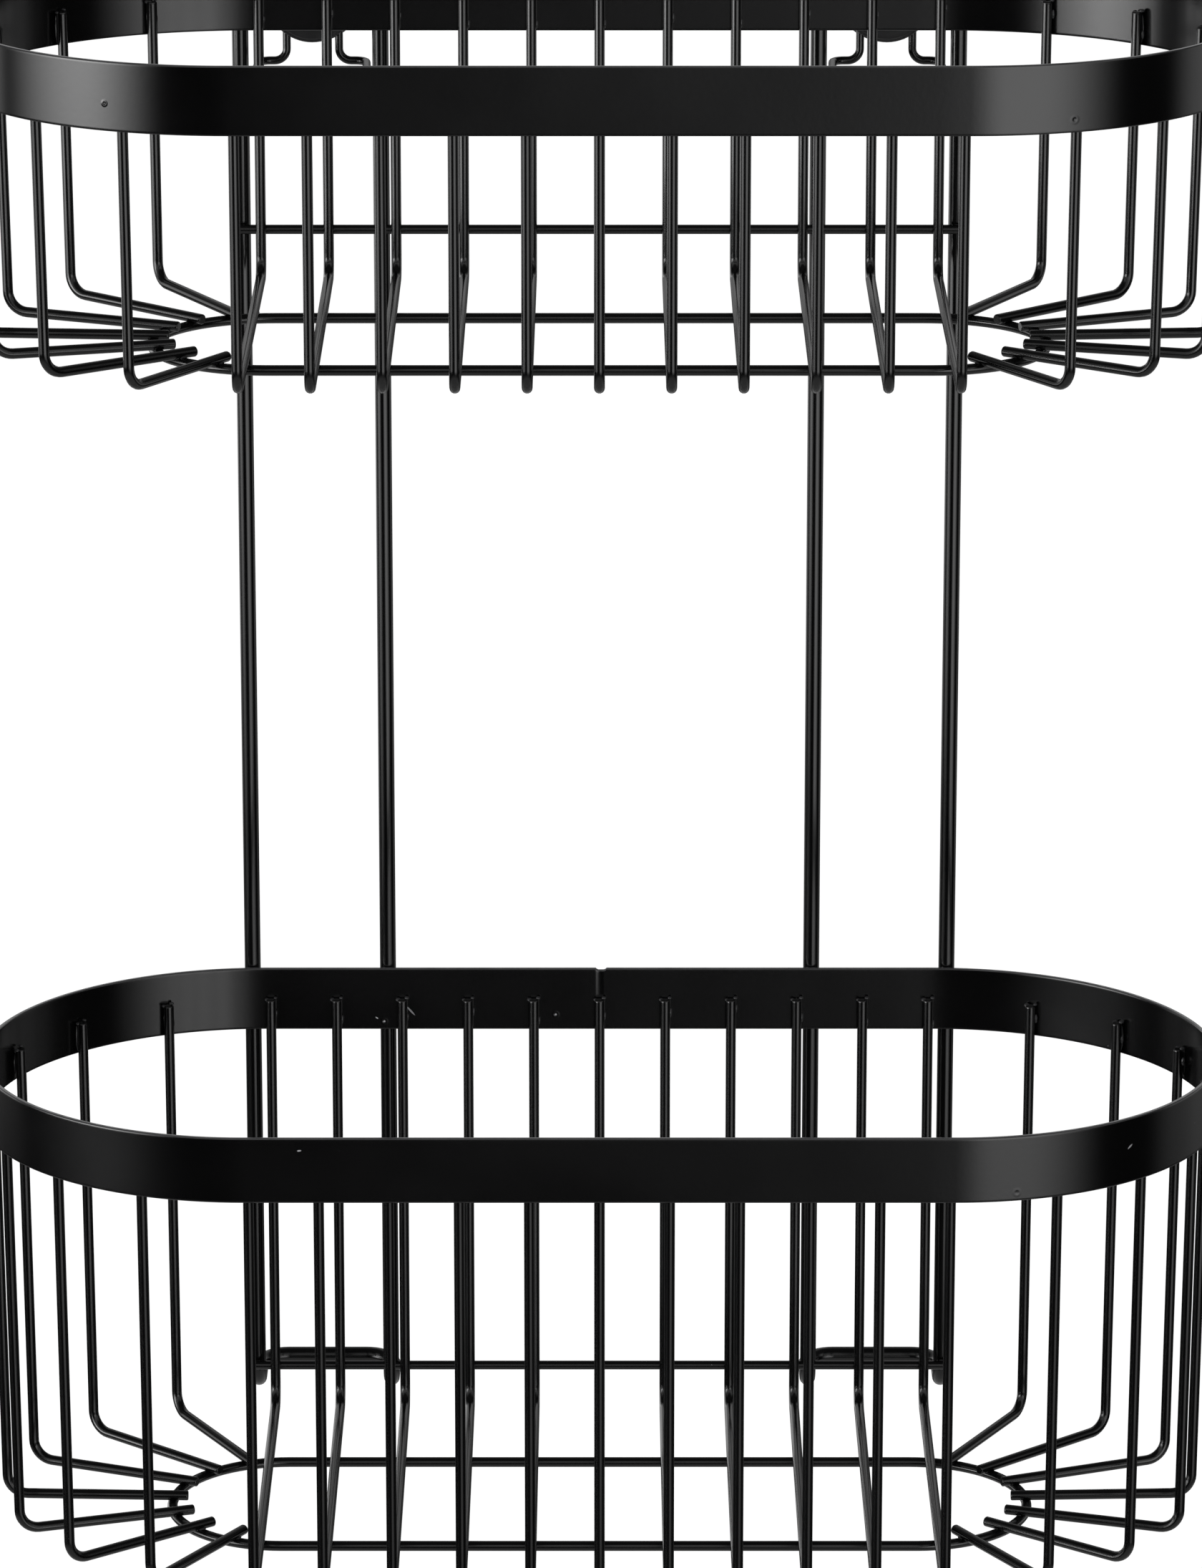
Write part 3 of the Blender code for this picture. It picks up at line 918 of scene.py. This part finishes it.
def finishTurned(name, shape, middle, finish):
    # what was turned round the axis goes to its button, smooth but for its hard edges
    bmesh.ops.recalc_face_normals(shape, faces=shape.faces[:])
    bmesh.ops.translate(shape, vec=(middle, 0, 0), verts=shape.verts[:])
    mesh = meshFrom(name, shape, finish)
    mesh.shade_smooth()
    mesh.set_sharp_from_angle(angle=sharpAngle)
    return addObject(name, mesh)


def lathe(name, profile, middle, steps, finish):
    # profile points are (radius, distance out from the wall); one on the axis starts and ends there
    # not by bmesh's spin, which orders its faces anew each run
    shape = bmesh.new()
    points = [Vector((radius, -out, 0)) for radius, out in profile]
    turns = [Matrix.Rotation(2 * math.pi * step / steps, 3, "Y") for step in range(steps)]
    slices = [[shape.verts.new(turn @ point) for point in points] for turn in turns]
    pairs = list(zip(range(len(points)), range(1, len(points))))
    if profile[0][0] > 0:
        pairs.append((len(points) - 1, 0))
    for here, after in zip(slices, slices[1:] + slices[:1]):
        for first, last in pairs:
            shape.faces.new((here[first], here[last], after[last], after[first]))
    bmesh.ops.remove_doubles(shape, verts=shape.verts[:], dist=samePlace)
    return finishTurned(name, shape, middle, finish)


def makeButton(side, middle):
    look = buttonLook
    headBack = look["baseThickness"] + look["neckLength"]
    face = headBack + look["headThickness"]
    corners = [
        (look["hole"], 0), (look["base"], 0), (look["base"], look["baseThickness"]),
        (look["neck"], look["baseThickness"]), (look["neck"], headBack),
        (look["head"], headBack), (look["head"], face),
        (look["pocket"], face), (look["pocket"], face - look["pocketDepth"]),
        (look["hole"], face - look["pocketDepth"] - (look["pocket"] - look["hole"])),
    ]
    soft, fillet = look["round"], look["fillet"]
    radii = [0, look["baseEdge"], soft, fillet, fillet, soft, soft, look["pocketEdge"], 0, 0]
    profile = softProfile(corners, radii)
    piece = lathe(side + "WallButton", profile, middle, look["steps"], finishes["plastic"])
    return settle(piece, "wall_fittings", "black_plastic", side + "_wall_button")


def makeCap(side, middle):
    look = capLook
    low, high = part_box(side + "_cover_cap")
    front = -low.y
    back = front - look["thickness"]
    foot = back - look["spigotLength"]
    rise = look["thickness"] - look["edge"]

    def dome(share):
        return look["radius"] * share, back + look["edge"] + rise * (1 - share ** 2)

    spigotFoot, spigotTop = (look["spigot"], foot), (look["spigot"], back)
    brim = (look["radius"], back)
    profile = [(0, foot)] + softCorner((0, foot), spigotFoot, spigotTop, *look["spigotEdge"])
    profile += [spigotTop] + softCorner(spigotTop, brim, (look["radius"], front), *look["backEdge"])
    profile += softCorner(brim, dome(1), dome(look["shoulderReach"]), look["shoulder"])
    place, half, depth = look["groove"]
    for step in range(1, look["domeSteps"] + 1):
        share = 1 - step / look["domeSteps"]
        radius, out = dome(share)
        profile.append((radius, out - depth * max(0.0, 1 - abs(share - place) / half)))
    piece = lathe(side + "CoverCap", profile, middle, look["steps"], finishes["plastic"])
    return settle(piece, "wall_fittings", "black_plastic", side + "_cover_cap")


def screwRadius(depth, turn):
    # radius of the thread at a depth below the screw's top and a share of a turn
    look = screwLook
    toPoint = min(1.0, (look["length"] - depth) / look["point"])
    phase = (depth / look["pitch"] - turn) % 1.0
    ridge = max(0.0, 1 - abs(phase - 0.5) / look["ridge"])
    started = min(1.0, max(0.0, (depth - look["plain"]) / look["pitch"]))
    radius = look["core"] + (look["shank"] - look["core"]) * ridge * started
    return radius * max(look["tip"], toPoint ** look["pointShape"])


def makeScrew(side, middle):
    look = screwLook
    low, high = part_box(side + "_screw")
    top = -low.y
    cone = look["flat"] + (look["head"] - look["shank"])
    shape = bmesh.new()
    depths = [cone + look["threadStart"]]
    while depths[-1] < look["length"] - samePlace:
        depths.append(min(look["length"], depths[-1] + look["pitch"] / look["perPitch"]))
    rings = []
    for depth in depths:
        ring = []
        for number in range(look["around"]):
            turn = number / look["around"]
            radius = screwRadius(depth, turn)
            angle = 2 * math.pi * turn
            place = (radius * math.cos(angle), depth - top, radius * math.sin(angle))
            ring.append(shape.verts.new(place))
        rings.append(ring)
    for ring, below in zip(rings, rings[1:]):
        for number in range(look["around"]):
            after = (number + 1) % look["around"]
            shape.faces.new((ring[number], ring[after], below[after], below[number]))
    shape.faces.new(rings[0])
    shape.faces.new(rings[-1])
    thread = finishTurned("thread", shape, middle, finishes["zinc"])
    neck = top - cone - look["neckLength"]
    profile = [(0, top), (look["head"] - look["headEdge"], top), (look["head"], top - look["flat"])]
    profile += [(look["shank"], top - cone), (look["core"], neck), (0, neck)]
    head = lathe("head", profile, middle, look["headSteps"], finishes["zinc"])
    cutCross(head, middle, top)
    piece = together(side + "Screw", head, thread)
    return settle(piece, "wall_fittings", "zinc_steel", side + "_screw")


def cutCross(head, middle, top):
    # the driver's cross recess, narrowing with depth
    look = screwLook
    shape = bmesh.new()
    for turn in (0, math.pi / 2):
        for vertex in bmesh.ops.create_cube(shape, size=1.0)["verts"]:
            deep = vertex.co.y > 0
            reachShare, widthShare = look["slotDeep" if deep else "slotOpen"]
            x = math.copysign(look["slotReach"] * reachShare, vertex.co.x)
            z = math.copysign(look["slot"] * widthShare, vertex.co.z)
            spot = Matrix.Rotation(turn, 3, "Y") @ Vector((x, 0, z))
            spot.y = look["slotDepth"] - top if deep else -top - look["slotClear"]
            vertex.co = spot + Vector((middle, 0, 0))
    cutter = addObject("crossCutter", meshFrom("crossCutter", shape))
    cut = head.modifiers.new("cross", "BOOLEAN")
    cut.operation = "DIFFERENCE"
    cut.solver = "EXACT"
    cut.use_self = True
    cut.object = cutter
    makePlain(head)
    bpy.data.objects.remove(cutter)


for side in sides:
    low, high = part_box(side + "_wall_button")
    middle = (low.x + high.x) / 2
    makeButton(side, middle)
    makeCap(side, middle)
    makeScrew(side, middle)
print("wall fittings made")


shot = {
    "place": (0.00036, -1.8045, 0.3196),
    "pitchDown": 0.2818,
    "focalPixels": 10379,
    "frameHeight": 2191,
    "sensor": 36.0,
    "clip": (0.05, 60),
}
studio = {
    "floorZ": -1.15,
    "floorSize": 14.0,
    "floorPaint": (0.8, 0.8, 0.8),
    "floorWhite": (0.88, 1.12),  # share of plain white that is seen directly, and its strength
    "ambient": 0.25,
    "overhead": 0.05,  # what gloss sees above, at eye level and below
    "eyeLevel": 0.015,
    "underfoot": 0.45,
    "overheadFade": (-0.1, 0.4),
    "underfootFade": (-0.66, -0.40),
    "frontBox": ((0.05, 0.25), (0.50, 0.75), 0.8),  # heights where it begins and fades, strength
    "frontBoxFade": (-0.4, 0.1),  # from the front backwards
    "backWall": (0.08, 0.38),  # behind, below eye level and above it
    "backWallFade": ((0.5, 0.9), (0.04, 0.16)),  # from the side backwards, and upwards
    # panels, in degrees: azimuths where each begins, is full, fades and ends, elevations where it
    # begins and is full, and its strength
    "panels": {
        "left": ((-108, -62, -62, -29), (-16.5, -6), 9.5),
        "right": ((0.5, 18, 31, 69), (-29, -10), 2.85),
        "rightEdge": ((-2, 6, 8, 22), (-18, -9), 0.5),
        "rightStrip": ((91, 108, 126, 149), (-24, -9), 0.65),
        "leftWall": ((-172, -150, -118, -104), (-19, -11), 1.3),
    },
    "panelTop": (2, 16),  # elevations where every panel fades and ends
    "middle": (0.0, -0.09, -0.17),
    "lampDistance": 2.3,
    "lamps": {  # azimuth and elevation from the camera's side, size, brightness
        "leftLamp": (-65, 20, 1.6, 6.0),
        "rightLamp": (32, 25, 1.6, 2.5),
        "topLamp": (20, 72, 1.2, 1.5),
    },
}


def makeCamera():
    camera = addObject("camera", bpy.data.cameras.new("camera"))
    camera.location = shot["place"]
    camera.rotation_euler = (math.pi / 2 - shot["pitchDown"], 0, 0)
    camera.data.sensor_width = shot["sensor"]
    camera.data.lens = shot["focalPixels"] * shot["sensor"] / shot["frameHeight"]
    camera.data.clip_start, camera.data.clip_end = shot["clip"]
    bpy.context.scene.camera = camera


def makeLamp(name, azimuth, elevation, size, brightness):
    # lights what isn't gloss; the gloss sees the panels of the world instead, which have soft edges
    turn, rise = math.radians(azimuth), math.radians(elevation)
    lamp = bpy.data.lights.new(name, "AREA")
    lamp.size = size
    lamp.energy = brightness * math.pi * size ** 2
    holder = addObject(name, lamp)
    level = math.cos(rise)
    away = Vector((math.sin(turn) * level, -math.cos(turn) * level, math.sin(rise)))
    holder.location = Vector(studio["middle"]) + away * studio["lampDistance"]
    holder.rotation_euler = away.to_track_quat("Z", "Y").to_euler()
    holder.visible_camera = False
    holder.visible_glossy = False


def seenDirectly(start):
    path = start.node("ShaderNodeLightPath")
    rays = ("Is Camera Ray", "Is Glossy Ray", "Is Transmission Ray")
    return [path.twin(ray) for ray in rays]


def glossOf(start):
    # brightness that gloss sees in each direction: a dim room, a box in front and soft panels
    direction = start.node("ShaderNodeTexCoord", output="Generated")
    parts = start.node("ShaderNodeSeparateXYZ", {}, {0: direction})
    x, y, z = [parts.twin(axis) for axis in "XYZ"]
    gloss = z.spread(*studio["underfootFade"], studio["underfoot"], studio["eyeLevel"])
    gloss = gloss + z.spread(*studio["overheadFade"], 0.0, studio["overhead"])
    azimuth = math.degrees(1) * start.maths("ARCTAN2", x, 0 - y)
    elevation = math.degrees(1) * start.maths("ARCSINE", z)
    for (begins, full, fades, ends), heights, strength in studio["panels"].values():
        panel = azimuth.spread(begins, full) * azimuth.spread(fades, ends, 1.0, 0.0)
        panel = panel * elevation.spread(*heights) * elevation.spread(*studio["panelTop"], 1.0, 0.0)
        gloss = gloss + strength * panel
    lower, upper, strength = studio["frontBox"]
    inFront = y.spread(*studio["frontBoxFade"], 1.0, 0.0)
    gloss = gloss + strength * (inFront * z.spread(*lower) * z.spread(*upper, 1.0, 0.0))
    behind, upwards = studio["backWallFade"]
    return gloss + y.spread(*behind) * z.spread(*upwards, *studio["backWall"])


def makeWorld():
    # white to the camera, the studio to gloss, and an even light to all else
    world = bpy.data.worlds.new("studio")
    bpy.context.scene.world = world
    world.use_nodes = True
    world.node_tree.nodes.clear()
    start = Signal(world.node_tree)
    camera, glossy, through = seenDirectly(start)
    seen = camera + through
    unseen = glossy * glossOf(start) + (1 - glossy) * studio["ambient"]
    values = {"Color": rgba((1, 1, 1)), "Strength": seen + (1 - seen) * unseen}
    light = start.node("ShaderNodeBackground", {}, values)
    start.node("ShaderNodeOutputWorld", {}, {"Surface": light})


def makeFloor():
    half = studio["floorSize"] / 2
    mesh = bpy.data.meshes.new("floor")
    corners = [(-half, -half), (half, -half), (half, half), (-half, half)]
    mesh.from_pydata([(x, y, studio["floorZ"]) for x, y in corners], [], [(0, 1, 2, 3)])
    floor = addObject("floor", mesh)
    material, start = startMaterial("paleFloor")
    camera, glossy, through = seenDirectly(start)
    share, strength = studio["floorWhite"]
    paint = start.node("ShaderNodeBsdfDiffuse", {}, {"Color": rgba(studio["floorPaint"])})
    white = {"Color": rgba((1, 1, 1)), "Strength": strength}
    white = start.node("ShaderNodeEmission", {}, white)
    mix = {0: share * (camera + glossy + through), 1: paint, 2: white}
    endMaterial(start, start.node("ShaderNodeMixShader", {}, mix))
    mesh.materials.append(material)
    floor.visible_glossy = False


makeCamera()
for name, facts in studio["lamps"].items():
    makeLamp(name, *facts)
makeWorld()
makeFloor()
bpy.context.scene.view_settings.view_transform = "Standard"
print("studio made")
